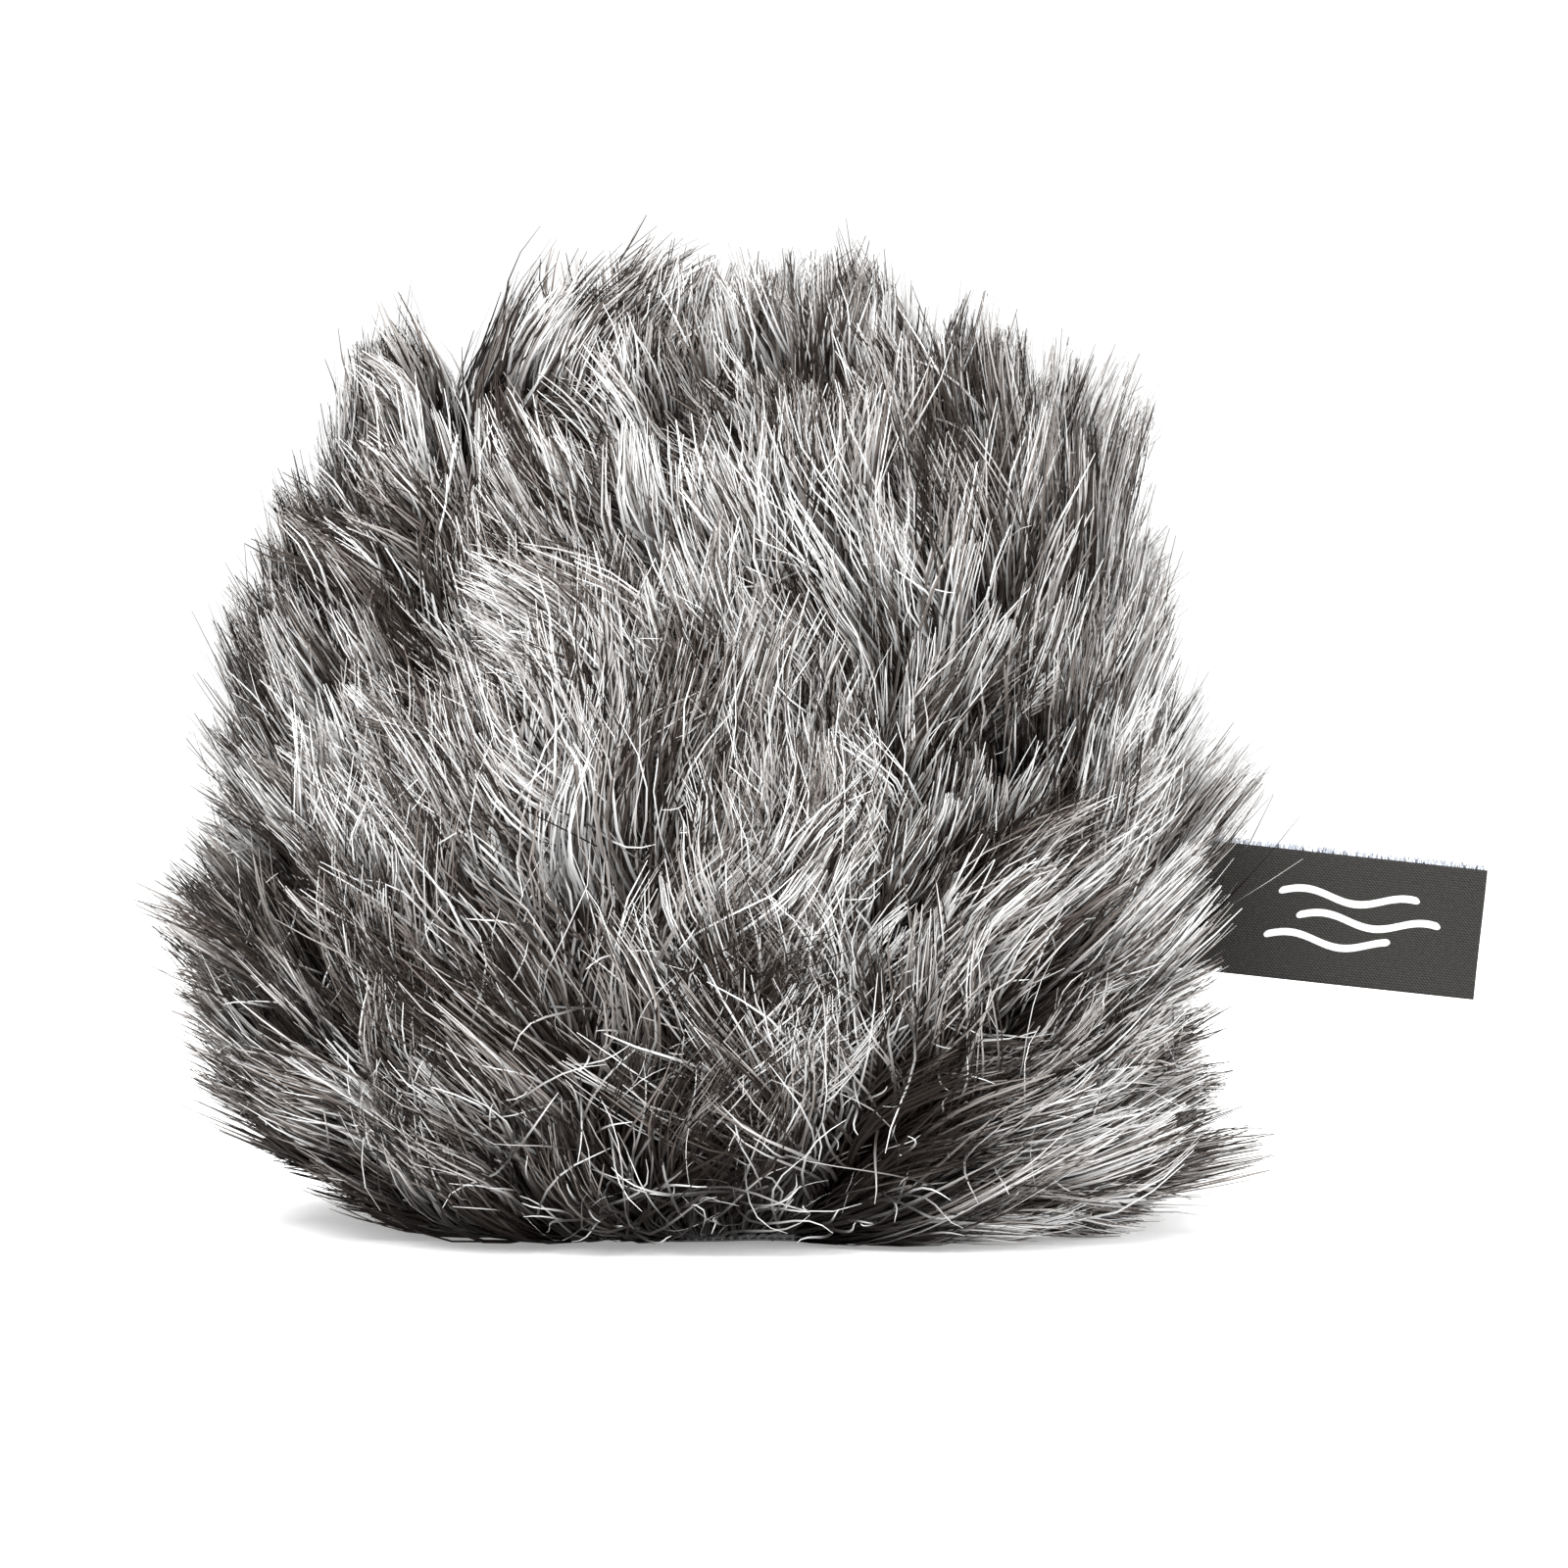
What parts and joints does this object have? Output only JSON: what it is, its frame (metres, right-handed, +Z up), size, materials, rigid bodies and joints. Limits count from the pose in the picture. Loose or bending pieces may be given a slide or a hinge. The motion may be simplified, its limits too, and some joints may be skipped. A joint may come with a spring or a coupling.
{
  "type": "furry windscreen",
  "caption": "Squat dome-shaped long-pile faux-fur wind cover with an elasticated open mouth, a foam liner and a folded woven loop label in its side seam.",
  "frame": {"origin": "centre of the oval mouth on the plane that the hood rests on", "axes": "+Z up through the crown; +X along the long way of the oval, towards the side seam that holds the label; +Y towards the back"},
  "size_m": [0.1473, 0.096, 0.11],
  "materials": {
    "silver_grey_fur": "long silver-grey acrylic pile over a dark brown undercoat",
    "charcoal_foam": null,
    "black_mesh_lining": "thin warp-knitted mesh",
    "black_binding": "knitted binding tape",
    "black_elastic": "flat braided elastic",
    "charcoal_woven_label": "fine twill woven label",
    "black_thread": "polyester sewing thread"
  },
  "bodies": {
    "hood": {"fur_front_panel": "silver_grey_fur", "fur_back_panel": "silver_grey_fur", "fur_crown_panel": "silver_grey_fur", "foam_front_panel": "charcoal_foam", "foam_back_panel": "charcoal_foam", "foam_crown_panel": "charcoal_foam", "lining_front_panel": "black_mesh_lining", "lining_back_panel": "black_mesh_lining", "lining_crown_panel": "black_mesh_lining", "hem_casing": "black_binding", "mouth_elastic": "black_elastic", "hem_seam_thread": "black_thread", "fur_seam_thread_right": "black_thread", "fur_seam_thread_left": "black_thread", "fur_seam_thread_crown": "black_thread", "lining_seam_thread_right": "black_thread", "lining_seam_thread_left": "black_thread", "lining_seam_thread_crown": "black_thread", "label_tail": "charcoal_woven_label"},
    "label": {"label_loop": "charcoal_woven_label"}
  },
  "joints": [
    {"name": "label_swing", "type": "hinge", "parent": "hood", "child": "label", "pos_m": [0.0576, 0, 0.0364], "axis": [0.108, 0, 0.9942], "range_deg": [-65, 65], "stiffness_Nm_per_rad": 0.0002}
  ]
}
